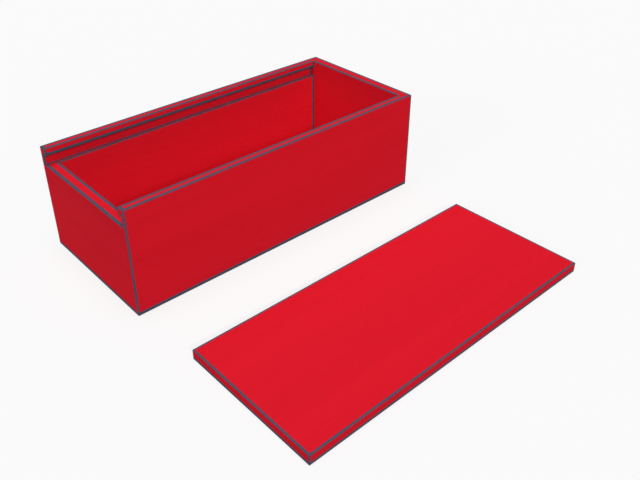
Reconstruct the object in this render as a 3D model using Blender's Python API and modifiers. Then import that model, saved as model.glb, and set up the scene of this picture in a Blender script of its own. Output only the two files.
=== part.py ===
"""A painted wooden box with a sliding lid, the lid taken off and laid in front of it.

The box is four boards round a captured bottom panel. Each long side is rabbeted at both
ends to take the end boards, and one groove runs in its inner face for the lid. The
mouth end stops level with the floor of that groove, so the lid goes in over it, and the
other end stands to full height and stops the lid. Pins driven through the long sides
hold the corners, and filler covers their heads.

Lengths are in metres. X runs from the mouth end to the stop end, Y from the near long
side to the far one, and Z up from the ground. The origin is on the ground in the middle
of the box and its lid taken together.
"""

import math

import bmesh
import bpy
from mathutils import Vector

# The assembled box
BOX_LENGTH = 0.160
BOX_WIDTH = 0.0705
BOX_HEIGHT = 0.0505
SIDE_THICKNESS = 0.0042
END_THICKNESS = 0.0056
ARRIS = 0.0003
GLUE_FILM = 0.00005

# The groove that the lid runs in; the rabbets are deeper by the film of glue in them
GROOVE_FLOOR = 0.0422
GROOVE_DEPTH = 0.00225

# The lid and its play in the groove
LID_THICKNESS = 0.0046
LID_PLAY_ABOVE = 0.0002
LID_PLAY_BESIDE = 0.0002
LID_PROUD = 0.0012

# Where the lid lies when it is off: in front of the box, its end set back from the mouth
LID_AWAY = 0.0352
LID_SET_BACK = 0.0025

# The bottom panel and the groove that holds it
PANEL_THICKNESS = 0.003
PANEL_RISE = 0.0035
PANEL_GROOVE_DEPTH = 0.002
PANEL_PLAY = 0.00005

# The pins, their holes and the filler over their heads
PINS_PER_CORNER = 3
PIN_LENGTH = 0.012
PIN_RADIUS = 0.0006
PIN_HEAD_RADIUS = 0.0009
PIN_HEAD_THICKNESS = 0.0004
PIN_POINT_LENGTH = 0.0015
PIN_SUNK = 0.0006
PIN_PLAY = 0.0001
PIN_FACETS = 12

# How far a cutter runs past what it cuts, and how near points are to be made one
OVERRUN = 0.001
WELD = 0.000001

# Pin holes are so fine that the exact solver can leave an open edge in one
HOLE_SOLVER = "MANIFOLD"

GROOVE_CEILING = GROOVE_FLOOR + LID_THICKNESS + LID_PLAY_ABOVE
CHEEK = SIDE_THICKNESS - GROOVE_DEPTH
END_WIDTH = BOX_WIDTH - 2 * CHEEK
LID_WIDTH = BOX_WIDTH - 2 * (CHEEK + LID_PLAY_BESIDE)
LID_LENGTH = BOX_LENGTH - END_THICKNESS + LID_PROUD
PANEL_GROOVE_TOP = PANEL_RISE + PANEL_THICKNESS + PANEL_PLAY
COUNTERBORE_RADIUS = PIN_HEAD_RADIUS + PIN_PLAY
COUNTERBORE_DEPTH = PIN_SUNK + PIN_HEAD_THICKNESS + PIN_PLAY

LEFT, RIGHT = Vector((-1, 0, 0)), Vector((1, 0, 0))
FRONT, BACK = Vector((0, -1, 0)), Vector((0, 1, 0))
DOWN, UP = Vector((0, 0, -1)), Vector((0, 0, 1))


def clear_scene():
    for obj in list(bpy.data.objects):
        bpy.data.objects.remove(obj)


def new_collection(name, hidden=False):
    collection = bpy.data.collections.new(name)
    collection.hide_render = hidden
    bpy.context.scene.collection.children.link(collection)
    return collection


def finish(name, colour, roughness, metallic=0.0):
    """A plain material with its colour, roughness and metallic value."""
    material = bpy.data.materials.new(name)
    material.use_nodes = True
    shader = material.node_tree.nodes["Principled BSDF"]
    shader.inputs["Base Color"].default_value = (*colour, 1.0)
    shader.inputs["Roughness"].default_value = roughness
    shader.inputs["Metallic"].default_value = metallic
    material.diffuse_color = (*colour, 1.0)
    return material


def paint(name):
    return finish(name + "_paint", (0.745, 0.0116, 0.0252), 0.5)


def place(name, location, collection):
    """An empty that carries the pieces standing at one corner."""
    empty = bpy.data.objects.new(name, None)
    empty.location = location
    empty.empty_display_size = SIDE_THICKNESS
    collection.objects.link(empty)
    return empty


def block(name, low, high, carrier, collection, eased=()):
    """A square block from its low corner to its high one, with some of its edges eased.

    Each entry of eased names one edge by the two faces that meet there.
    """
    low, high = Vector(low), Vector(high)
    bm = bmesh.new()
    bmesh.ops.create_cube(bm, size=1)
    weight = bm.edges.layers.float.new("bevel_weight_edge")
    for edge in bm.edges:
        middle = (edge.verts[0].co + edge.verts[1].co) / 2
        edge[weight] = float(any(middle.dot(a) > 0 and middle.dot(b) > 0 for a, b in eased))
    bmesh.ops.scale(bm, vec=high - low, verts=bm.verts)
    mesh = bpy.data.meshes.new(name)
    bm.to_mesh(mesh)
    bm.free()
    obj = bpy.data.objects.new(name, mesh)
    obj.location = (low + high) / 2
    obj.parent = carrier
    collection.objects.link(obj)
    if eased:
        bevel = obj.modifiers.new("eased_arrises", "BEVEL")
        bevel.limit_method = "WEIGHT"
        bevel.width = ARRIS
        bevel.segments = 1
    return obj


def every_edge():
    """The twelve edges of a block, each as the two faces that meet there."""
    across = ((LEFT, RIGHT), (FRONT, BACK), (DOWN, UP))
    pairs = [(across[i], across[j]) for i in range(3) for j in range(i + 1, 3)]
    return [(a, b) for first, second in pairs for a in first for b in second]


def turned(name, profile, facets):
    """A mesh holding one profile line, as (radius, height) points from top to bottom."""
    bm = bmesh.new()
    points = [bm.verts.new((radius, 0, height)) for radius, height in profile]
    for upper, lower in zip(points, points[1:]):
        bm.edges.new((upper, lower))
    mesh = bpy.data.meshes.new(name)
    bm.to_mesh(mesh)
    bm.free()

    def copy(copy_name, collection):
        obj = bpy.data.objects.new(copy_name, mesh)
        screw = obj.modifiers.new("turning", "SCREW")
        screw.steps = screw.render_steps = facets
        screw.use_merge_vertices = True
        screw.merge_threshold = WELD
        collection.objects.link(obj)
        return obj

    return copy


def cut(piece, cutter, solver="EXACT"):
    """Cuts one shape out of a piece, leaving the cutter in place."""
    cutter.display_type = "WIRE"
    cutter.hide_render = True
    boolean = piece.modifiers.new("cut_" + cutter.name, "BOOLEAN")
    boolean.operation = "DIFFERENCE"
    boolean.solver = solver
    boolean.object = cutter


def make_side(name, inward, carrier, parts, cutters):
    """A long side: a full board with the lid groove, the panel groove and two rabbets.

    inward is the direction from this board to the middle of the box.
    """
    outer = 0 if inward.y > 0 else BOX_WIDTH
    inner = outer + inward.y * SIDE_THICKNESS
    groove = inner - inward.y * GROOVE_DEPTH
    rabbet = groove - inward.y * GLUE_FILM
    panel_groove = inner - inward.y * PANEL_GROOVE_DEPTH
    clear = inner + inward.y * OVERRUN
    outward = -inward

    def span(first, second, low_x, high_x, low_z, high_z):
        low_y, high_y = min(first, second), max(first, second)
        return (low_x, low_y, low_z), (high_x, high_y, high_z)

    board = block(
        name,
        *span(outer, inner, 0, BOX_LENGTH, 0, BOX_HEIGHT),
        carrier,
        parts,
        eased=[(outward, side) for side in (UP, DOWN, LEFT, RIGHT)]
        + [(end, side) for end in (LEFT, RIGHT) for side in (UP, DOWN)]
        + [(inward, UP)],
    )
    board.data.materials.append(paint(name))
    past_mouth, past_stop = -OVERRUN, BOX_LENGTH + OVERRUN
    below, above = -OVERRUN, BOX_HEIGHT + OVERRUN
    stop_face = BOX_LENGTH - END_THICKNESS
    shapes = {
        "lid_groove": span(groove, clear, past_mouth, past_stop, GROOVE_FLOOR, GROOVE_CEILING),
        "mouth_rabbet": span(rabbet, clear, past_mouth, END_THICKNESS, below, GROOVE_FLOOR),
        "stop_rabbet": span(rabbet, clear, stop_face, past_stop, below, above),
        "panel_groove": span(
            panel_groove, clear, past_mouth, past_stop, PANEL_RISE, PANEL_GROOVE_TOP
        ),
    }
    for label, (low, high) in shapes.items():
        cut(board, block(f"{name}_{label}", low, high, carrier, cutters))
    return board


def make_end(name, inward, height, carrier, parts, cutters):
    """An end board, let into the rabbets of both sides and grooved for the panel."""
    outer = 0 if inward.x > 0 else BOX_LENGTH
    inner = outer + inward.x * END_THICKNESS
    groove = inner - inward.x * PANEL_GROOVE_DEPTH
    clear = inner + inward.x * OVERRUN
    face = inner - inward.x * GLUE_FILM
    board = block(
        name,
        (min(outer, face), CHEEK, 0),
        (max(outer, face), CHEEK + END_WIDTH, height),
        carrier,
        parts,
        eased=[(-inward, UP), (-inward, DOWN), (inward, UP)],
    )
    board.data.materials.append(paint(name))
    cutter = block(
        name + "_panel_groove",
        (min(groove, clear), CHEEK - OVERRUN, PANEL_RISE),
        (max(groove, clear), CHEEK + END_WIDTH + OVERRUN, PANEL_GROOVE_TOP),
        carrier,
        cutters,
    )
    cut(board, cutter)
    return board


def make_bottom_panel(carrier, parts):
    """The bottom panel, its edges held in the grooves of all four boards."""
    held_in_end = END_THICKNESS - PANEL_GROOVE_DEPTH + PANEL_PLAY
    held_in_side = SIDE_THICKNESS - PANEL_GROOVE_DEPTH + PANEL_PLAY
    panel = block(
        "bottom_panel",
        (held_in_end, held_in_side, PANEL_RISE + PANEL_PLAY / 2),
        (BOX_LENGTH - held_in_end, BOX_WIDTH - held_in_side, PANEL_GROOVE_TOP - PANEL_PLAY / 2),
        carrier,
        parts,
        eased=every_edge(),
    )
    panel.data.materials.append(paint("bottom_panel"))


def make_lid(carrier, parts):
    """The lid, a flat board that fits between the bottoms of the two lid grooves."""
    lid = block(
        "lid", (0, 0, 0), (LID_LENGTH, LID_WIDTH, LID_THICKNESS), carrier, parts, every_edge()
    )
    lid.data.materials.append(paint("lid"))


def pin_profile():
    """A panel pin: flat head, short neck under it, straight shank and a point."""
    neck = PIN_HEAD_THICKNESS + (PIN_HEAD_RADIUS - PIN_RADIUS)
    return [
        (0, 0),
        (PIN_HEAD_RADIUS, 0),
        (PIN_HEAD_RADIUS, -PIN_HEAD_THICKNESS),
        (PIN_RADIUS, -neck),
        (PIN_RADIUS, PIN_POINT_LENGTH - PIN_LENGTH),
        (0, -PIN_LENGTH),
    ]


def hole_profile():
    """What a driven pin leaves in the wood: a sunk seat for the head and a long hole."""
    neck = COUNTERBORE_DEPTH + (PIN_HEAD_RADIUS - PIN_RADIUS)
    hole_radius = PIN_RADIUS + PIN_PLAY
    return [
        (0, OVERRUN),
        (COUNTERBORE_RADIUS, OVERRUN),
        (COUNTERBORE_RADIUS, -COUNTERBORE_DEPTH),
        (hole_radius, -neck),
        (hole_radius, -PIN_SUNK - PIN_LENGTH - PIN_PLAY),
        (0, -PIN_SUNK - PIN_LENGTH - PIN_PLAY),
    ]


def stopping_profile():
    """The plug of filler over a pin's head, level with the face of the board."""
    radius = COUNTERBORE_RADIUS - GLUE_FILM
    bottom = GLUE_FILM - PIN_SUNK
    return [(0, 0), (radius, 0), (radius, bottom), (0, bottom)]


def make_pins(sides, ends, carrier, parts, cutters):
    """The pins of all four corners, each with its hole and its plug of filler."""
    pin = turned("pin", pin_profile(), PIN_FACETS)
    hole = turned("pin_hole", hole_profile(), PIN_FACETS)
    stopping = turned("stopping", stopping_profile(), PIN_FACETS)
    steel = finish("pin_steel", (0.42, 0.42, 0.43), 0.35, 1.0)
    filler = finish("wood_filler", (0.56, 0.36, 0.19), 0.9)
    room = (GROOVE_FLOOR - PANEL_GROOVE_TOP) / PINS_PER_CORNER
    number = 0
    for side, inward in sides:
        outer = 0 if inward.y > 0 else BOX_WIDTH
        for end, x in ends:
            for i in range(PINS_PER_CORNER):
                number += 1
                z = PANEL_GROOVE_TOP + (i + 0.5) * room
                hole_cutter = hole(f"pin_hole_{number}", cutters)
                driven = pin(f"side_pin_{number}", parts)
                plug = stopping(f"stopping_{number}", parts)
                for obj, depth in ((hole_cutter, 0), (driven, PIN_SUNK), (plug, 0)):
                    obj.parent = carrier
                    obj.location = (x, outer + inward.y * depth, z)
                    obj.rotation_euler.x = inward.y * math.pi / 2
                cut(side, hole_cutter, HOLE_SOLVER)
                cut(end, hole_cutter, HOLE_SOLVER)
    driven.data.materials.append(steel)
    plug.data.materials.append(filler)


def main():
    clear_scene()
    parts = new_collection("sliding_lid_box")
    cutters = new_collection("cutters", hidden=True)
    middle = Vector((BOX_LENGTH, BOX_WIDTH - LID_AWAY - LID_WIDTH, 0)) / 2
    box_corner = place("box_corner", -middle, parts)
    lid_corner = place(
        "lid_corner", Vector((LID_SET_BACK, -LID_AWAY - LID_WIDTH, 0)) - middle, parts
    )
    near_side = make_side("near_side_board", BACK, box_corner, parts, cutters)
    far_side = make_side("far_side_board", FRONT, box_corner, parts, cutters)
    mouth_end = make_end("mouth_end_board", RIGHT, GROOVE_FLOOR, box_corner, parts, cutters)
    stop_end = make_end("stop_end_board", LEFT, BOX_HEIGHT, box_corner, parts, cutters)
    make_bottom_panel(box_corner, parts)
    make_pins(
        ((near_side, BACK), (far_side, FRONT)),
        ((mouth_end, END_THICKNESS / 2), (stop_end, BOX_LENGTH - END_THICKNESS / 2)),
        box_corner,
        parts,
        cutters,
    )
    make_lid(lid_corner, parts)


main()
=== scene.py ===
"""The looks of a red painted box with a sliding lid, its lid off and laid in front of it.

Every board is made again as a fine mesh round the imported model: carved from a square block,
its bare corners eased to a small round, and its faces bordered so that the slate lining
painted along the edges is part of the surface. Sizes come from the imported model's own
boards. Lengths are in metres. X runs from the mouth end to the stop end, Y from the near
long side to the far one, and Z up from the ground.
"""

import logging
import math
from dataclasses import dataclass, field
from enum import Enum
from itertools import combinations, product
from typing import Optional, Union

import bmesh
import bpy
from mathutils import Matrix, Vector


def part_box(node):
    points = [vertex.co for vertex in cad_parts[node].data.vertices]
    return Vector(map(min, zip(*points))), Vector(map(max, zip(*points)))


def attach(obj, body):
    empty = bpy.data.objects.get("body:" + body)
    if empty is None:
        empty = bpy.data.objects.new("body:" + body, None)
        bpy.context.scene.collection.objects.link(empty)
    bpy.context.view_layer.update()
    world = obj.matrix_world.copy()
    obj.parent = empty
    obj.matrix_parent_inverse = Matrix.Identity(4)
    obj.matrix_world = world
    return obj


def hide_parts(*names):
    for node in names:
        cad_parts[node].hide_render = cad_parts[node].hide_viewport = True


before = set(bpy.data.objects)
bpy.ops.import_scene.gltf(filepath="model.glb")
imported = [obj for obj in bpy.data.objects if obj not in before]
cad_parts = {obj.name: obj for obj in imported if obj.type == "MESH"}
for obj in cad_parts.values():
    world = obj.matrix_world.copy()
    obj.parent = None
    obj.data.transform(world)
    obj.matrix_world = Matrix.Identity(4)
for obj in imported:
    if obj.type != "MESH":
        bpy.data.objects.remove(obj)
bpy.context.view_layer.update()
LOG = logging.getLogger("sliding_lid_box")

MM = 0.001
AXES = (0, 1, 2)
ALONG, ACROSS = AXES[:2]

# How deep a place lies in the painted line of its own edge, and of the edges before and
# after that one round the face.
LINE_LAYERS = ("line_beside", "line_before", "line_after")
# The depth where no line reaches.
UNPAINTED = -1.0
# Planes that lie nearer than this are one, such as the two sides of a glued joint.
FILM = 0.06 * MM
# How far beside a line or a face the boards are felt for.
PROBE = 0.12 * MM
# The cosine from which two directions count as one.
STRAIGHT = 0.9
# The cosine from which a face counts as square to an axis.
SQUARE = 0.999
# The upright share of a direction from which it counts as up or down.
STEEP = 0.5
# How far two faces may turn and still be one plane.
SAME_PLANE = math.radians(1)

Colour = tuple[float, float, float, float]
Setting = Union[bpy.types.NodeSocket, float, Colour]


class Corner(Enum):
    """What the finished object has along a line: nothing, an outside corner or an inside one.

    A corner's value is how many of the four quarters round its line are wood.
    """

    NONE = 0
    OUTSIDE = 1
    INSIDE = 3


class Run(Enum):
    """Which way a board's grain and the brush ran, as the axis of the row frame."""

    LENGTHWAYS = ALONG
    CROSSWAYS = ACROSS


@dataclass(frozen=True)
class Block:
    """A square block of wood, or of the space cut out of one.

    Attributes:
        low: The lowest corner.
        high: The highest corner.
    """

    low: Vector
    high: Vector

    def holds(self, point: Vector) -> bool:
        """Whether a point lies inside."""
        return all(self.low[a] < point[a] < self.high[a] for a in AXES)


@dataclass(frozen=True)
class Lining:
    """How wide the painted line is on a face, by where the face's edge lies.

    Attributes:
        level: On a level face, along any edge.
        upper: On an upright face, along its top edge.
        lower: On an upright face, along its bottom edge.
        upright: On an upright face, along a standing edge.
        crease: On an upright face, along an inside corner that lies level.
        standing_crease: On an upright face, along an inside corner that stands.
        reach: How far from the edge a border goes, which no line is wider than.
        narrow_share: The most of a narrow face's width that each of two borders takes. A
            border that has the face to itself takes up to twice as much.
    """

    level: float = 1.1 * MM
    upper: float = 0.05 * MM
    lower: float = 1.5 * MM
    upright: float = 0.5 * MM
    crease: float = 0.15 * MM
    standing_crease: float = 0.65 * MM
    reach: float = 1.9 * MM
    narrow_share: float = 0.4

    def width(self, corner: Corner, normal: Vector, outward: Vector) -> float:
        """The line's width on one border of a face.

        Args:
            corner: What the object has along the border's outer edge.
            normal: The face's direction.
            outward: The direction from the face's middle to the edge.

        Returns:
            The width in metres, or zero where no line is painted.
        """
        if corner is Corner.NONE:
            return 0.0
        if abs(normal.z) > STEEP:
            return self.level
        if corner is Corner.INSIDE:
            return self.crease if abs(outward.z) > STEEP else self.standing_crease
        if outward.z > STEEP:
            return self.upper
        return self.lower if outward.z < -STEEP else self.upright


@dataclass
class Board:
    """One board, as a square block with square cuts, carved into a fine mesh.

    Attributes:
        name: The name of the piece.
        block: The wood before it is cut.
        run: Which way its grain runs.
        stands_for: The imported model's nodes that the piece takes the place of.
        cuts: The spaces cut out of the wood.
    """

    name: str
    block: Block
    run: Run
    stands_for: tuple[str, ...]
    cuts: list[Block] = field(default_factory=list)

    def holds(self, point: Vector) -> bool:
        """Whether there is wood at a point."""
        return self.block.holds(point) and not any(cut.holds(point) for cut in self.cuts)

    def planes(self, axis: int, neighbours: list["Board"]) -> list[float]:
        """Finds the places where a face of the board, or its bare part, may end.

        Args:
            axis: The axis along which they are looked for.
            neighbours: The boards that it is joined to.

        Returns:
            The places in order.
        """
        low, high = self.block.low[axis], self.block.high[axis]
        places = [low, high]
        blocks = list(self.cuts)
        for board in neighbours:
            blocks += [board.block, *board.cuts]
        for value in (v for block in blocks for v in (block.low[axis], block.high[axis])):
            if low < value < high and all(abs(value - place) > FILM for place in places):
                places.append(value)
        return sorted(places)

    def carve(self, neighbours: list["Board"]) -> bmesh.types.BMesh:
        """The board's shape with sharp corners, its faces divided into bare and covered parts.

        Args:
            neighbours: The boards that it is joined to.

        Returns:
            A closed mesh, whose covered faces have material index 1.
        """
        grid = [self.planes(axis, neighbours) for axis in AXES]
        bm = bmesh.new()
        corners: dict[tuple[int, ...], bmesh.types.BMVert] = {}

        def corner(index: tuple[int, ...]) -> bmesh.types.BMVert:
            """Gives the vertex at one crossing of the grid, made once.

            Args:
                index: The crossing's number along each axis.

            Returns:
                The vertex.
            """
            if index not in corners:
                corners[index] = bm.verts.new([grid[a][index[a]] for a in AXES])
            return corners[index]

        def wooden(cell: tuple[int, ...]) -> bool:
            """Tells whether one cell of the grid is wood.

            Args:
                cell: The cell's number along each axis.

            Returns:
                True for wood, and False for a cut or a cell outside the grid.
            """
            if any(not 0 <= cell[a] < len(grid[a]) - 1 for a in AXES):
                return False
            middle = [(grid[a][cell[a]] + grid[a][cell[a] + 1]) / 2 for a in AXES]
            return self.holds(Vector(middle))

        for cell in product(*(range(len(grid[a]) - 1) for a in AXES)):
            if not wooden(cell):
                continue
            for axis, side in product(AXES, (0, 1)):
                beyond = list(cell)
                beyond[axis] += 1 if side else -1
                if wooden(tuple(beyond)):
                    continue
                first, second = (axis + 1) % 3, (axis + 2) % 3
                ring = [(0, 0), (1, 0), (1, 1), (0, 1)]
                points = []
                for step_first, step_second in ring if side else reversed(ring):
                    index = list(cell)
                    index[axis] += side
                    index[first] += step_first
                    index[second] += step_second
                    points.append(corner(tuple(index)))
                face = bm.faces.new(points)
                face.normal_update()
                outside = face.calc_center_median() + face.normal * PROBE
                face.material_index = int(any(board.holds(outside) for board in neighbours))
        bmesh.ops.dissolve_limit(
            bm,
            angle_limit=SAME_PLANE,
            verts=bm.verts,
            edges=bm.edges,
            delimit={"MATERIAL"},
        )
        return bm


def is_flat(face: bmesh.types.BMFace) -> bool:
    """Whether a face lies square to an axis, as all but the eased corners do."""
    return max(abs(value) for value in face.normal) > SQUARE


@dataclass
class Rim:
    """One edge of a flat face, as its border is laid out.

    Attributes:
        start: Where the edge starts, going round the face.
        end: Where it ends.
        along: Its direction.
        inward: The direction from it into the face.
        width: The width of the painted line beside it.
        bordered: Whether a border runs beside it.
    """

    start: Vector
    end: Vector
    along: Vector
    inward: Vector
    width: float
    bordered: bool

    def depth(self, point: Vector) -> float:
        """How deep a point lies in the painted line, below zero where it is outside."""
        return self.width - (point - self.start).dot(self.inward) if self.width else UNPAINTED

    def gap(self, other: "Rim") -> Optional[float]:
        """Measures the face between this edge and one across from it.

        Args:
            other: Another edge of the same face.

        Returns:
            The distance in metres, or None where the two don't face each other.
        """
        if self.along.dot(other.along) > -STRAIGHT:
            return None
        ends = (other.start, other.end)
        low, high = sorted((point - self.start).dot(self.along) for point in ends)
        shared = min(high, (self.end - self.start).length) - max(low, 0.0)
        distance = (other.start - self.start).dot(self.inward)
        return distance if shared > FILM and distance > 0 else None


def turn(before: Rim, after: Rim, normal: Vector) -> float:
    """How a face turns between two edges: 1 at an outer corner and -1 in a nook."""
    return before.along.cross(after.along).dot(normal)


@dataclass
class Joinery:
    """Boards that make one thing together, such as the box, or the lid by itself.

    Attributes:
        body: The moving body that they ride on.
        boards: The boards.
        lining: The widths of the painted lines.
        ease: The radius of the eased corners.
        ease_steps: How many faces go round an eased corner.
        ease_profile: The section of an eased corner, a half being round.
        probes: At how many places along an edge its corner is looked at.
        sharp_from: The turn between faces from which their shading breaks.
        even_weight: How far large faces outweigh small ones in the shading.
    """

    body: str
    boards: list[Board]
    lining: Lining = field(default_factory=Lining)
    ease: float = 0.2 * MM
    ease_steps: int = 3
    ease_profile: float = 0.5
    probes: int = 9
    sharp_from: float = math.radians(40)
    even_weight: int = 100

    def corner_at(self, point: Vector, axis: int) -> Corner:
        """What the finished object has along a line through a point.

        Args:
            point: A point on the line.
            axis: The axis that the line runs along.

        Returns:
            An outside corner where one quarter round the line is wood, an inside corner
            where three are, and none otherwise.
        """
        first, second = (a for a in AXES if a != axis)
        filled = []
        for step_first, step_second in product((-1, 1), (-1, 1)):
            near = point.copy()
            near[first] += step_first * PROBE
            near[second] += step_second * PROBE
            filled.append(any(board.holds(near) for board in self.boards))
        return {1: Corner.OUTSIDE, 3: Corner.INSIDE}.get(sum(filled), Corner.NONE)

    def is_bare(self, edge: bmesh.types.BMEdge) -> bool:
        """Tells whether most of an edge is an outside corner of the finished object.

        Args:
            edge: An edge of one board.

        Returns:
            True for an edge that hands can reach and wear.
        """
        start, end = (vert.co for vert in edge.verts)
        axis = max(AXES, key=lambda a: abs(end[a] - start[a]))
        shares = [(i + 0.5) / self.probes for i in range(self.probes)]
        outside = [self.corner_at(start.lerp(end, s), axis) is Corner.OUTSIDE for s in shares]
        return 2 * sum(outside) > self.probes

    def rims(self, face: bmesh.types.BMFace) -> list[Rim]:
        """The edges of a bare face in order round it.

        Args:
            face: A flat face of a board with its corners eased.

        Returns:
            One rim for each edge. An edge without a line gets a border where it goes
            straight on from one that has a line.
        """
        found = []
        for loop in face.loops:
            start, end = loop.vert.co.copy(), loop.link_loop_next.vert.co.copy()
            along = (end - start).normalized()
            inward = face.normal.cross(along)
            axis = max(AXES, key=lambda a: abs(along[a]))
            middle = (start + end) / 2
            corner = self.corner_at(middle, axis)
            if corner is Corner.NONE:
                corner = self.corner_at(middle - inward * self.ease, axis)
            width = self.lining.width(corner, face.normal, -inward)
            found.append(Rim(start, end, along, inward, width, width > 0))
        # Going round once for each edge takes a border all along a straight side.
        for i, rim in list(enumerate(found)) * len(found):
            last = found[i - 1]
            if rim.along.dot(last.along) > STRAIGHT:
                rim.bordered = last.bordered = rim.bordered or last.bordered
        return found

    def border_width(self, rims: list[Rim]) -> float:
        """Works out how wide the borders can be without meeting each other or a far edge.

        Args:
            rims: The edges of the face.

        Returns:
            The width in metres.
        """
        wide = self.lining.reach
        for rim, other in combinations(rims, 2):
            borders = rim.bordered + other.bordered
            gap = rim.gap(other)
            if borders and gap is not None:
                wide = min(wide, self.lining.narrow_share * gap * 2 / borders)
        return wide

    def border(self, bm: bmesh.types.BMesh, face: bmesh.types.BMFace) -> None:
        """Gives one bare, flat face a border that holds the painted lines along its edges.

        Args:
            bm: The board's mesh.
            face: The face, which is replaced by the strips of its border and the middle.
        """
        rims = self.rims(face)
        if not any(rim.bordered for rim in rims):
            return
        normal = face.normal.copy()
        wide, count = self.border_width(rims), len(rims)
        outer = [loop.vert for loop in face.loops]
        inner: list[bmesh.types.BMVert] = []
        middle: list[bmesh.types.BMVert] = []
        marks: dict[int, bmesh.types.BMVert] = {}
        for i, vert in enumerate(outer):
            before, after = rims[i - 1], rims[i]
            if not (before.bordered or after.bordered):
                inner.append(vert)
                middle.append(vert)
                continue
            if before.bordered and after.bordered:
                mitre = (before.inward + after.inward) / (1 + before.inward.dot(after.inward))
                made = bm.verts.new(vert.co + mitre * wide)
                middle.append(made)
            elif turn(before, after, normal) > 0:
                plain = (i - 1) % count if after.bordered else i
                far = marks.get(plain, outer[plain if after.bordered else (i + 1) % count])
                share = wide / (far.co - vert.co).length
                made = bmesh.utils.edge_split(bm.edges.get((vert, far)), vert, share)[1]
                marks[plain] = made
                middle.append(made)
            else:
                lined = after if after.bordered else before
                made = bm.verts.new(vert.co + lined.inward * wide)
                middle += [vert, made] if after.bordered else [made, vert]
            inner.append(made)
        bm.faces.remove(face)
        self.paint(bm, bm.faces.new(middle))
        for i, rim in enumerate(rims):
            if not rim.bordered:
                continue
            j = (i + 1) % count
            before = rims[i - 1] if turn(rims[i - 1], rim, normal) > STRAIGHT else None
            after = rims[j] if turn(rim, rims[j], normal) > STRAIGHT else None
            strip = bm.faces.new([outer[i], outer[j], inner[j], inner[i]])
            self.paint(bm, strip, rim, before, after)

    @staticmethod
    def paint(
        bm: bmesh.types.BMesh,
        face: bmesh.types.BMFace,
        beside: Optional[Rim] = None,
        before: Optional[Rim] = None,
        after: Optional[Rim] = None,
    ) -> None:
        """Marks how deep each corner of a face lies in the painted lines that reach it.

        Args:
            bm: The board's mesh.
            face: The face.
            beside: The edge that the face runs beside, if any.
            before: The edge before that one, where it turns an outer corner.
            after: The edge after it, where it turns an outer corner.
        """
        for name, rim in zip(LINE_LAYERS, (beside, before, after)):
            layer = bm.loops.layers.float[name]
            for loop in face.loops:
                loop[layer] = rim.depth(loop.vert.co) if rim else UNPAINTED

    def line(self, bm: bmesh.types.BMesh) -> None:
        """Borders every bare face and marks where the painted lines are.

        Args:
            bm: The board with its corners eased, its covered faces with material index 1.
        """
        for name in LINE_LAYERS:
            bm.loops.layers.float.new(name)
        beside = bm.loops.layers.float[LINE_LAYERS[0]]
        bm.normal_update()
        for face in bm.faces:
            self.paint(bm, face)
            if not is_flat(face):
                # An eased corner lies in the lining all over, as deep as the thinnest line.
                for loop in face.loops:
                    loop[beside] = self.lining.upper
        for face in [face for face in bm.faces if is_flat(face) and not face.material_index]:
            self.border(bm, face)
        for face in bm.faces:
            face.material_index = 0

    def model(self, board: Board) -> bpy.types.Object:
        """Makes one board's mesh.

        Args:
            board: The board to make.

        Returns:
            The piece, in place.
        """
        bm = board.carve([other for other in self.boards if other is not board])
        bare = [edge for edge in bm.edges if self.is_bare(edge)]
        bmesh.ops.bevel(
            bm,
            geom=bare,
            offset=self.ease,
            segments=self.ease_steps,
            profile=self.ease_profile,
            affect="EDGES",
            clamp_overlap=True,
        )
        self.line(bm)
        bmesh.ops.recalc_face_normals(bm, faces=bm.faces)
        mesh = bpy.data.meshes.new(board.name)
        bm.to_mesh(mesh)
        bm.free()
        mesh.shade_smooth()
        mesh.set_sharp_from_angle(angle=self.sharp_from)
        piece = bpy.data.objects.new(board.name, mesh)
        bpy.context.scene.collection.objects.link(piece)
        weighted = piece.modifiers.new("even_faces", "WEIGHTED_NORMAL")
        weighted.keep_sharp = True
        weighted.weight = self.even_weight
        return piece

    def build(self, finishes: dict[Run, bpy.types.Material]) -> None:
        """Makes and dresses every board.

        Args:
            finishes: The paint for each way that a board's grain runs.
        """
        for board in self.boards:
            piece = self.model(board)
            piece.data.materials.append(finishes[board.run])
            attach(piece, self.body)
            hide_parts(*board.stands_for)
            LOG.info("%s: %d faces, rides on %s", piece.name, len(piece.data.polygons), self.body)


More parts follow.
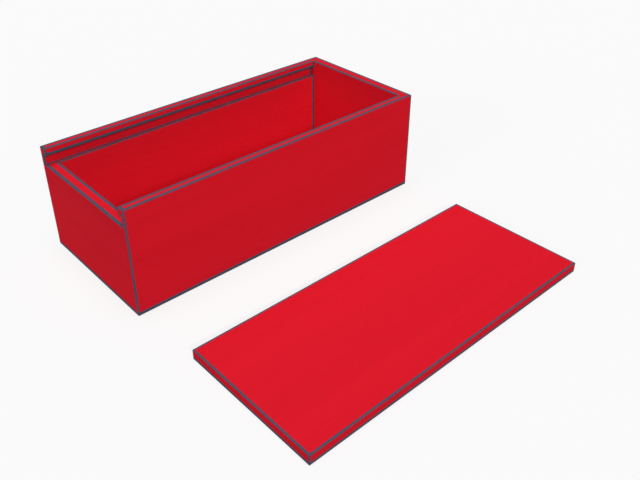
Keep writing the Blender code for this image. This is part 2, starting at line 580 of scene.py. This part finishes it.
@dataclass
class Carcass:
    """The box itself: two grooved sides, a low mouth end, a full stop end and the panel.

    Attributes:
        sides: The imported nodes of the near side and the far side.
        ends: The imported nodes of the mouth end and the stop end.
        panel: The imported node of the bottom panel.
        lid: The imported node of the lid, whose thickness gives the groove's.
        lid_play: The room above the lid in its groove.
        panel_play: The room above and below the panel in its groove.
        panel_held: How deep the panel's groove is.
        pins_per_side: How many pins each side has, and so how many plugs of filler.
        past: How far a cut goes on past the wood.
    """

    sides: tuple[str, str] = ("near_side_board", "far_side_board")
    ends: tuple[str, str] = ("mouth_end_board", "stop_end_board")
    panel: str = "bottom_panel"
    lid: str = "lid"
    lid_play: float = 0.2 * MM
    panel_play: float = 0.025 * MM
    panel_held: float = 2.0 * MM
    pins_per_side: int = 6
    past: float = 1.0 * MM

    def __post_init__(self) -> None:
        """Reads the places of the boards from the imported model."""
        self.near, self.far = (Block(*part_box(node)) for node in self.sides)
        self.mouth, self.stop = (Block(*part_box(node)) for node in self.ends)
        self.bottom = Block(*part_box(self.panel))
        low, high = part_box(self.lid)
        self.groove_floor = self.mouth.high.z
        self.groove_ceiling = self.groove_floor + (high.z - low.z) + self.lid_play
        self.panel_low = self.bottom.low.z - self.panel_play
        self.panel_high = self.bottom.high.z + self.panel_play

    def side(self, number: int) -> Board:
        """One long side, grooved for the lid and the panel and rabbeted for the ends.

        Args:
            number: 0 for the near side and 1 for the far side.

        Returns:
            The board.
        """
        block = (self.near, self.far)[number]
        low, high = block.low, block.high
        if number == 0:
            deep, clear = self.mouth.low.y, high.y + self.past
            panel_deep = high.y - self.panel_held
        else:
            deep, clear = self.mouth.high.y, low.y - self.past
            panel_deep = low.y + self.panel_held

        def slot(x: tuple[float, float], depth: float, z: tuple[float, float]) -> Block:
            """Gives the space from a depth in the board out through its inner face.

            Args:
                x: Where it starts and ends along the board.
                depth: How deep it goes, as a place across the box.
                z: Its floor and its ceiling.

            Returns:
                The space.
            """
            near, far = sorted((depth, clear))
            return Block(Vector((x[0], near, z[0])), Vector((x[1], far, z[1])))

        whole = (low.x - self.past, high.x + self.past)
        cuts = [
            slot((whole[0], self.stop.low.x), deep, (self.groove_floor, self.groove_ceiling)),
            slot((whole[0], self.mouth.high.x), deep, (low.z - self.past, self.groove_floor)),
            slot((self.stop.low.x, whole[1]), deep, (low.z - self.past, high.z + self.past)),
            slot(whole, panel_deep, (self.panel_low, self.panel_high)),
        ]
        first = number * self.pins_per_side + 1
        plugs = [f"stopping_{first + i}" for i in range(self.pins_per_side)]
        name = ("near_side", "far_side")[number]
        return Board(name, block, Run.LENGTHWAYS, (self.sides[number], *plugs), cuts)

    def end(self, number: int) -> Board:
        """One end board, grooved for the panel.

        Args:
            number: 0 for the mouth end and 1 for the stop end.

        Returns:
            The board.
        """
        block = (self.mouth, self.stop)[number]
        if number == 0:
            x = (block.high.x - self.panel_held, block.high.x + self.past)
        else:
            x = (block.low.x - self.past, block.low.x + self.panel_held)
        groove = Block(
            Vector((x[0], block.low.y - self.past, self.panel_low)),
            Vector((x[1], block.high.y + self.past, self.panel_high)),
        )
        name = ("mouth_end", "stop_end")[number]
        return Board(name, block, Run.CROSSWAYS, (self.ends[number],), [groove])

    def joinery(self) -> Joinery:
        """Puts the box together.

        Returns:
            Its two sides, two ends and bottom panel, which ride on the body box.
        """
        boards = [self.side(0), self.side(1), self.end(0), self.end(1)]
        boards.append(Board("floor_panel", self.bottom, Run.LENGTHWAYS, (self.panel,)))
        return Joinery("box", boards)


@dataclass
class SlidingLid:
    """The lid, a flat board that lies in front of the box, with a finer line than the box.

    Attributes:
        node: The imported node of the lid.
        lining: The widths of its painted lines.
    """

    node: str = "lid"
    lining: Lining = field(
        default_factory=lambda: Lining(level=0.65 * MM, lower=1.15 * MM, upright=0.35 * MM)
    )

    def joinery(self) -> Joinery:
        """The lid's one board, with all its corners bare."""
        board = Board("lid_board", Block(*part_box(self.node)), Run.LENGTHWAYS, (self.node,))
        return Joinery("lid", [board], self.lining)


class Detail(Enum):
    """How fine a noise texture goes."""

    COARSE = 1.0
    MIDDLING = 2.0
    FINE = 3.0


class NodeTree:
    """Adds nodes to a material, a world or a node group, and links them.

    Attributes:
        share: The number of a colour Mix node's input for the share.
        first: The number of its input for the first colour.
        second: The number of its input for the second colour.
        mixed: The number of its output for the colour.
    """

    share, first, second = 0, 6, 7
    mixed = 2

    def __init__(self, tree: bpy.types.NodeTree) -> None:
        """Keeps the tree and clears what it came with."""
        self.tree = tree
        self.tree.nodes.clear()

    def node(
        self, kind: str, inputs: Optional[dict[Union[str, int], Setting]] = None, **settings: object
    ) -> bpy.types.Node:
        """Adds one node.

        Args:
            kind: Blender's name for the node's type.
            inputs: A value or a socket for each input, by name or number.
            settings: The node's own properties.

        Returns:
            The node.
        """
        made = self.tree.nodes.new(kind)
        for name, value in settings.items():
            setattr(made, name, value)
        for name, value in (inputs or {}).items():
            if isinstance(value, bpy.types.NodeSocket):
                self.tree.links.new(value, made.inputs[name])
            else:
                made.inputs[name].default_value = value
        return made

    def math(
        self, operation: str, *values: Setting, clamp: bool = False
    ) -> bpy.types.NodeSocket:
        """Adds a Math node.

        Args:
            operation: What it does.
            values: What it does it to.
            clamp: Whether the result is kept between 0 and 1.

        Returns:
            The result.
        """
        node = self.node("ShaderNodeMath", dict(enumerate(values)), operation=operation)
        node.use_clamp = clamp
        return node.outputs[0]

    def mix(self, share: Setting, first: Setting, second: Setting) -> bpy.types.NodeSocket:
        """Mixes two colours.

        Args:
            share: How much of the second colour there is.
            first: The first colour.
            second: The second colour.

        Returns:
            The mixed colour.
        """
        inputs = {self.share: share, self.first: first, self.second: second}
        node = self.node("ShaderNodeMix", inputs, data_type="RGBA", clamp_factor=True)
        return node.outputs[self.mixed]

    def ramp(
        self, value: Setting, low: float, high: float, to: tuple[float, float] = (0.0, 1.0)
    ) -> bpy.types.NodeSocket:
        """Maps a value smoothly from one range to another.

        Args:
            value: The value.
            low: The start of the range that it is mapped from.
            high: The end of that range.
            to: The start and the end of the range that it is mapped to.

        Returns:
            The mapped value.
        """
        node = self.node(
            "ShaderNodeMapRange",
            {"Value": value, "From Min": low, "From Max": high, "To Min": to[0], "To Max": to[1]},
            interpolation_type="SMOOTHSTEP",
            clamp=True,
        )
        return node.outputs["Result"]

    def noise(
        self, place: Setting, scale: float, detail: Detail = Detail.MIDDLING
    ) -> bpy.types.NodeSocket:
        """Adds a noise texture.

        Args:
            place: Where on the surface it is read.
            scale: How many of its features go to a metre.
            detail: How fine it goes.

        Returns:
            Its value, from 0 to 1.
        """
        inputs = {"Vector": place, "Scale": scale, "Detail": detail.value}
        return self.node("ShaderNodeTexNoise", inputs).outputs[0]

    def effect(
        self, group: bpy.types.NodeTree, place: Setting, **inputs: Setting
    ) -> bpy.types.NodeOutputs:
        """Places a shared group.

        Args:
            group: The group.
            place: Where on the surface it is read.
            inputs: Its values by name.

        Returns:
            Its outputs.
        """
        return self.node("ShaderNodeGroup", {"Place": place, **inputs}, node_tree=group).outputs


def node_group(
    name: str, inputs: dict[str, str], outputs: dict[str, str]
) -> tuple[bpy.types.NodeTree, NodeTree, bpy.types.Node, bpy.types.Node]:
    """Starts a shader node group with named inputs and outputs.

    Args:
        name: The group's name.
        inputs: The socket type of each input.
        outputs: The socket type of each output.

    Returns:
        The group, the helper that adds its nodes, and its input and output nodes.
    """
    group = bpy.data.node_groups.new(name, "ShaderNodeTree")
    for sockets, side in ((inputs, "INPUT"), (outputs, "OUTPUT")):
        for label, kind in sockets.items():
            group.interface.new_socket(name=label, in_out=side, socket_type=kind)
    nodes = NodeTree(group)
    return group, nodes, nodes.node("NodeGroupInput"), nodes.node("NodeGroupOutput")


VALUE, VECTOR = "NodeSocketFloat", "NodeSocketVector"


@dataclass
class Effects:
    """The surface effects that more than one finish uses, each a node group built once.

    Attributes:
        waver_scale: How many wavers of a painted line go to a metre.
        furrow_scale: How many brush furrows go to a metre.
        lap_scale: How many changes of tone go to a metre.
        ring_scale: How many ridges of the grain go to a metre.
        ring_range: The noise values at which a ridge starts and is full.
        bend_scale: How many bends of the grain go to a metre.
        bend: How far the grain bends aside.
        patch_scale: How many handled patches go to a metre.
    """

    waver_scale: float = 140.0
    furrow_scale: float = 1600.0
    lap_scale: float = 90.0
    ring_scale: float = 320.0
    ring_range: tuple[float, float] = (0.35, 0.7)
    bend_scale: float = 60.0
    bend: float = 4 * MM
    patch_scale: float = 35.0

    def __post_init__(self) -> None:
        """Builds the groups."""
        self.lining = self.painted_line()
        self.brushing = self.brush_marks()
        self.grain = self.wood_grain()
        self.handling = self.hand_polish()

    @staticmethod
    def stretched(nodes: NodeTree, given: bpy.types.Node) -> bpy.types.NodeSocket:
        """Draws the place on the surface out one way.

        Args:
            nodes: The group's nodes.
            given: The group's input node.

        Returns:
            The place, times the group's stretch.
        """
        factors = {0: given.outputs["Place"], 1: given.outputs["Stretch"]}
        return nodes.node("ShaderNodeVectorMath", factors, operation="MULTIPLY").outputs[0]

    def painted_line(self) -> bpy.types.NodeTree:
        """Makes the lining along the edges, with the slight waver of a hand-drawn line.

        Returns:
            A group that puts out how much of the lining's colour shows.
        """
        group, nodes, given, put = node_group(
            "painted_line", {"Place": VECTOR, "Waver": VALUE, "Softness": VALUE}, {"Line": VALUE}
        )
        depths = [
            nodes.node("ShaderNodeAttribute", attribute_name=name).outputs["Fac"]
            for name in LINE_LAYERS
        ]
        deepest = nodes.math("MAXIMUM", nodes.math("MAXIMUM", depths[0], depths[1]), depths[2])
        slow = nodes.noise(given.outputs["Place"], self.waver_scale)
        swing = nodes.math("MULTIPLY", nodes.math("SUBTRACT", slow, 0.5), given.outputs["Waver"])
        inside = nodes.math("ADD", deepest, swing)
        share = nodes.math("DIVIDE", inside, given.outputs["Softness"])
        nodes.tree.links.new(nodes.math("ADD", share, 0.5, clamp=True), put.inputs["Line"])
        return group

    def brush_marks(self) -> bpy.types.NodeTree:
        """Makes the fine furrows that a brush leaves in paint, long one way.

        Returns:
            A group that puts out the furrows' height and the slow change of tone.
        """
        group, nodes, given, put = node_group(
            "brush_marks", {"Place": VECTOR, "Stretch": VECTOR}, {"Height": VALUE, "Tone": VALUE}
        )
        place = self.stretched(nodes, given)
        furrows = nodes.noise(place, self.furrow_scale, Detail.FINE)
        laps = nodes.noise(place, self.lap_scale, Detail.COARSE)
        nodes.tree.links.new(furrows, put.inputs["Height"])
        nodes.tree.links.new(laps, put.inputs["Tone"])
        return group

    def wood_grain(self) -> bpy.types.NodeTree:
        """Makes the grain of the board, which just shows through the paint as low ridges.

        Returns:
            A group that puts out the ridges' height.
        """
        group, nodes, given, put = node_group(
            "wood_grain", {"Place": VECTOR, "Stretch": VECTOR}, {"Height": VALUE}
        )
        place = self.stretched(nodes, given)
        aside = nodes.noise(place, self.bend_scale, Detail.COARSE)
        bent = nodes.node(
            "ShaderNodeVectorMath",
            {0: aside, 1: (self.bend, self.bend, self.bend), 2: place},
            operation="MULTIPLY_ADD",
        ).outputs[0]
        rings = nodes.noise(bent, self.ring_scale)
        nodes.tree.links.new(nodes.ramp(rings, *self.ring_range), put.inputs["Height"])
        return group

    def hand_polish(self) -> bpy.types.NodeTree:
        """Makes broad patches that handling has made a little smoother.

        Returns:
            A group that puts out the roughness.
        """
        group, nodes, given, put = node_group(
            "hand_polish", {"Place": VECTOR, "Smooth": VALUE, "Rough": VALUE}, {"Roughness": VALUE}
        )
        patches = nodes.noise(given.outputs["Place"], self.patch_scale, Detail.FINE)
        span = nodes.math("SUBTRACT", given.outputs["Rough"], given.outputs["Smooth"])
        rough = nodes.math("ADD", given.outputs["Smooth"], nodes.math("MULTIPLY", patches, span))
        nodes.tree.links.new(rough, put.inputs["Roughness"])
        return group


def grey(value: float) -> Colour:
    """A grey with the same value in each colour."""
    return (value, value, value, 1.0)


def new_material(name: str) -> tuple[bpy.types.Material, NodeTree]:
    """Starts a material with an empty tree.

    Args:
        name: The material's name.

    Returns:
        The material and the helper that adds its nodes.
    """
    material = bpy.data.materials.new(name)
    material.use_nodes = True
    return material, NodeTree(material.node_tree)


@dataclass(frozen=True)
class RedPaint:
    """Red satin paint, brushed on, with slate lining along the edges.

    Attributes:
        red: The paint's colour.
        slate: The lining's colour.
        smooth: The roughness where hands have polished it.
        rough: The roughness elsewhere.
        shine: The strength of the shine, a half being plain glossy paint.
        tone_share: How much the red's brightness changes from place to place.
        tone_range: The noise values at which the red is darkest and lightest.
        stretch_share: How much slower the marks change along the grain than across it.
        waver: How far a painted line's edge wavers.
        softness: How wide its blurred edge is.
        relief: How high the furrows stand.
        grain_share: How high the grain stands, as a share of that.
        line_share: How high the lining stands, as a share of that.
    """

    red: Colour = (0.70, 0.0102, 0.023, 1.0)
    slate: Colour = (0.068, 0.08, 0.125, 1.0)
    smooth: float = 0.6
    rough: float = 0.8
    shine: float = 0.02
    tone_share: float = 0.05
    tone_range: tuple[float, float] = (0.3, 0.7)
    stretch_share: float = 0.04
    waver: float = 0.15 * MM
    softness: float = 0.12 * MM
    relief: float = 0.1 * MM
    grain_share: float = 0.3
    line_share: float = 0.3

    def material(self, effects: Effects, run: Run) -> bpy.types.Material:
        """Makes the paint for boards whose grain runs one way.

        Args:
            effects: The shared node groups.
            run: The way that the grain and the brush run.

        Returns:
            The material.
        """
        material, nodes = new_material(f"red_paint_{run.name.lower()}")
        place = nodes.node("ShaderNodeTexCoord").outputs["Object"]
        stretch = Vector((1, 1, 1))
        stretch[run.value] = self.stretch_share

        line = nodes.effect(effects.lining, place, Waver=self.waver, Softness=self.softness)["Line"]
        brushed = nodes.effect(effects.brushing, place, Stretch=stretch)
        grain = nodes.effect(effects.grain, place, Stretch=stretch)["Height"]
        handled = nodes.effect(effects.handling, place, Smooth=self.smooth, Rough=self.rough)
        tones = (1 - self.tone_share / 2, 1 + self.tone_share / 2)
        tone = nodes.ramp(brushed["Tone"], *self.tone_range, tones)
        red = nodes.node("ShaderNodeHueSaturation", {"Color": self.red, "Value": tone}).outputs[0]
        colour = nodes.mix(line, red, self.slate)
        ridges = nodes.math("MULTIPLY", grain, self.grain_share)
        raised = nodes.math("MULTIPLY", line, self.line_share)
        height = nodes.math("ADD", nodes.math("ADD", ridges, brushed["Height"]), raised)
        bump = nodes.node(
            "ShaderNodeBump", {"Height": height, "Strength": 1.0, "Distance": self.relief}
        )
        shader = nodes.node(
            "ShaderNodeBsdfPrincipled",
            {
                "Base Color": colour,
                "Roughness": handled["Roughness"],
                "Specular IOR Level": self.shine,
                "Normal": bump.outputs[0],
            },
        )
        nodes.node("ShaderNodeOutputMaterial", {"Surface": shader.outputs[0]})
        return material


@dataclass(frozen=True)
class DrawnSteel:
    """Bright steel pin wire with fine lines along it.

    Attributes:
        colour: The steel's colour.
        dark_share: How bright it is in the drawn lines, as a share of that.
        smooth: The roughness where it is brightest.
        rough: The roughness elsewhere.
        stretch: How much faster the lines change along each axis; the pins lie across.
        relief: How high the lines stand.
        relief_strength: How much of that shows.
    """

    colour: Colour = (0.42, 0.42, 0.43, 1.0)
    dark_share: float = 0.7
    smooth: float = 0.25
    rough: float = 0.5
    stretch: tuple[float, float, float] = (8.0, 0.2, 8.0)
    relief: float = 0.01 * MM
    relief_strength: float = 0.2

    def material(self, effects: Effects) -> bpy.types.Material:
        """Makes the steel.

        Args:
            effects: The shared node groups.

        Returns:
            The material.
        """
        material, nodes = new_material("pin_steel_drawn")
        place = nodes.node("ShaderNodeTexCoord").outputs["Object"]
        polish = nodes.effect(effects.handling, place, Smooth=self.smooth, Rough=self.rough)
        marks = nodes.effect(effects.brushing, place, Stretch=self.stretch)
        red, green, blue, opaque = self.colour
        dark = (red * self.dark_share, green * self.dark_share, blue * self.dark_share, opaque)
        colour = nodes.mix(marks["Tone"], dark, self.colour)
        bump = nodes.node(
            "ShaderNodeBump",
            {"Height": marks["Height"], "Strength": self.relief_strength, "Distance": self.relief},
        )
        shader = nodes.node(
            "ShaderNodeBsdfPrincipled",
            {
                "Base Color": colour,
                "Metallic": 1.0,
                "Roughness": polish["Roughness"],
                "Normal": bump.outputs[0],
            },
        )
        nodes.node("ShaderNodeOutputMaterial", {"Surface": shader.outputs[0]})
        return material


@dataclass
class Pins:
    """The steel pins inside the corners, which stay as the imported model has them.

    Attributes:
        prefix: What the pins' names start with.
    """

    prefix: str = "side_pin_"

    def dress(self, steel: bpy.types.Material) -> None:
        """Gives every pin its steel.

        Args:
            steel: The steel.
        """
        for name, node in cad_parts.items():
            if name.startswith(self.prefix):
                for slot in node.material_slots:
                    slot.material = steel
                LOG.info("%s: drawn steel", name)


@dataclass(frozen=True)
class Lamp:
    """One far, soft lamp.

    Attributes:
        name: The lamp's name.
        share: The light that it gives a surface facing it, 1 being full light.
        turn: Where it shines from, in degrees to the left of straight in front.
        rise: How high it stands above the ground, in degrees.
        spread: How wide it looks from the object, in degrees, which softens its shadows.
    """

    name: str
    share: float
    turn: float
    rise: float
    spread: float

    def hang(self) -> None:
        """Makes the lamp and points it at the object."""
        light = bpy.data.lights.new(self.name, "SUN")
        light.energy = self.share * math.pi
        light.angle = math.radians(self.spread)
        lamp = bpy.data.objects.new(self.name, light)
        lamp.rotation_euler = (math.radians(90 - self.rise), 0.0, math.radians(-self.turn))
        bpy.context.scene.collection.objects.link(lamp)


@dataclass
class Studio:
    """A pale floor, pale surroundings, and soft light from in front, the left and above.

    Attributes:
        pale: How bright the floor and the background look, 1 being white.
        dull: How much light the floor throws back at the object.
        glow: How bright the surroundings light the object from all round.
        own_light_share: How much of the floor's looks is its own light, which keeps its
            shadows and the red thrown on it faint.
        floor_size: The width of the floor.
        lamps: The lamps.
    """

    pale: float = 0.956
    dull: float = 0.35
    glow: float = 0.22
    own_light_share: float = 0.8
    floor_size: float = 4.0
    lamps: tuple[Lamp, ...] = (
        Lamp("front_lamp", share=0.537, turn=22, rise=32.5, spread=8),
        Lamp("left_lamp", share=0.17, turn=90, rise=20, spread=20),
        Lamp("top_lamp", share=0.433, turn=0, rise=90, spread=30),
    )

    def seen(self, nodes: NodeTree) -> bpy.types.NodeSocket:
        """Tells rays from the camera, a reflection or clear glass from the rest.

        Args:
            nodes: The nodes of the floor or the surroundings.

        Returns:
            1 for such a ray and 0 for any other.
        """
        path = nodes.node("ShaderNodeLightPath").outputs
        either = nodes.math("MAXIMUM", path["Is Camera Ray"], path["Is Glossy Ray"])
        return nodes.math("MAXIMUM", either, path["Is Transmission Ray"])

    def lay_floor(self) -> None:
        """Lays the floor at the height that the object stands on."""
        bm = bmesh.new()
        bmesh.ops.create_grid(bm, x_segments=1, y_segments=1, size=self.floor_size / 2)
        mesh = bpy.data.meshes.new("pale_floor")
        bm.to_mesh(mesh)
        bm.free()
        floor = bpy.data.objects.new("pale_floor", mesh)
        bpy.context.scene.collection.objects.link(floor)
        material, nodes = new_material("pale_floor")
        seen = self.seen(nodes)
        lit = self.pale * (1 - self.own_light_share)
        dull, pale, own = (grey(value) for value in (self.dull, lit, self.pale - lit))
        shader = nodes.node(
            "ShaderNodeBsdfPrincipled",
            {
                "Base Color": nodes.mix(seen, dull, pale),
                "Roughness": 1.0,
                "Specular IOR Level": 0.0,
                "Emission Color": nodes.mix(seen, grey(0.0), own),
                "Emission Strength": 1.0,
            },
        )
        nodes.node("ShaderNodeOutputMaterial", {"Surface": shader.outputs[0]})
        mesh.materials.append(material)

    def surround(self) -> None:
        """Makes the surroundings: the same pale tone to look at, and a faint even glow."""
        world = bpy.data.worlds.new("surroundings")
        bpy.context.scene.world = world
        world.use_nodes = True
        nodes = NodeTree(world.node_tree)
        colour = nodes.mix(self.seen(nodes), grey(self.glow), grey(self.pale))
        background = nodes.node("ShaderNodeBackground", {"Color": colour, "Strength": 1.0})
        nodes.node("ShaderNodeOutputWorld", {"Surface": background.outputs[0]})


@dataclass
class Viewpoint:
    """The camera, placed as the photograph's was.

    Attributes:
        place: Where the lens is.
        turn: How far it looks to the right of straight ahead.
        tilt: How far it looks down.
        focal_pixels: The focal length, in pixels of the picture.
        axis_pixel: The pixel that lies straight ahead of the lens.
        picture: The picture's width and height in pixels.
        film: The width of the camera's film, in millimetres.
    """

    place: tuple[float, float, float] = (-0.18514, -0.20831, 0.2005)
    turn: float = math.radians(41.972)
    tilt: float = math.radians(31.247)
    focal_pixels: float = 754.85
    axis_pixel: tuple[float, float] = (315.09, 196.55)
    picture: tuple[int, int] = (640, 480)
    film: float = 36.0

    def set_up(self) -> None:
        """Makes the camera and gives it to the scene."""
        width, height = self.picture
        lens = bpy.data.cameras.new("viewpoint")
        lens.sensor_fit = "HORIZONTAL"
        lens.sensor_width = self.film
        lens.lens = self.film * self.focal_pixels / width
        lens.shift_x = (width / 2 - self.axis_pixel[0]) / width
        lens.shift_y = (self.axis_pixel[1] - height / 2) / width
        lens.clip_start = MM
        camera = bpy.data.objects.new("viewpoint", lens)
        camera.location = self.place
        camera.rotation_euler = (math.pi / 2 - self.tilt, 0.0, -self.turn)
        bpy.context.scene.collection.objects.link(camera)
        bpy.context.scene.camera = camera


def main() -> None:
    """Builds the scene in order."""
    logging.basicConfig(level=logging.INFO, format="%(name)s: %(message)s")
    bpy.context.scene.view_settings.view_transform = "Standard"
    Viewpoint().set_up()
    studio = Studio()
    studio.lay_floor()
    for lamp in studio.lamps:
        lamp.hang()
    studio.surround()
    effects = Effects()
    paint = {run: RedPaint().material(effects, run) for run in Run}
    Carcass().joinery().build(paint)
    SlidingLid().joinery().build(paint)
    Pins().dress(DrawnSteel().material(effects))


if __name__ == "__main__":
    main()
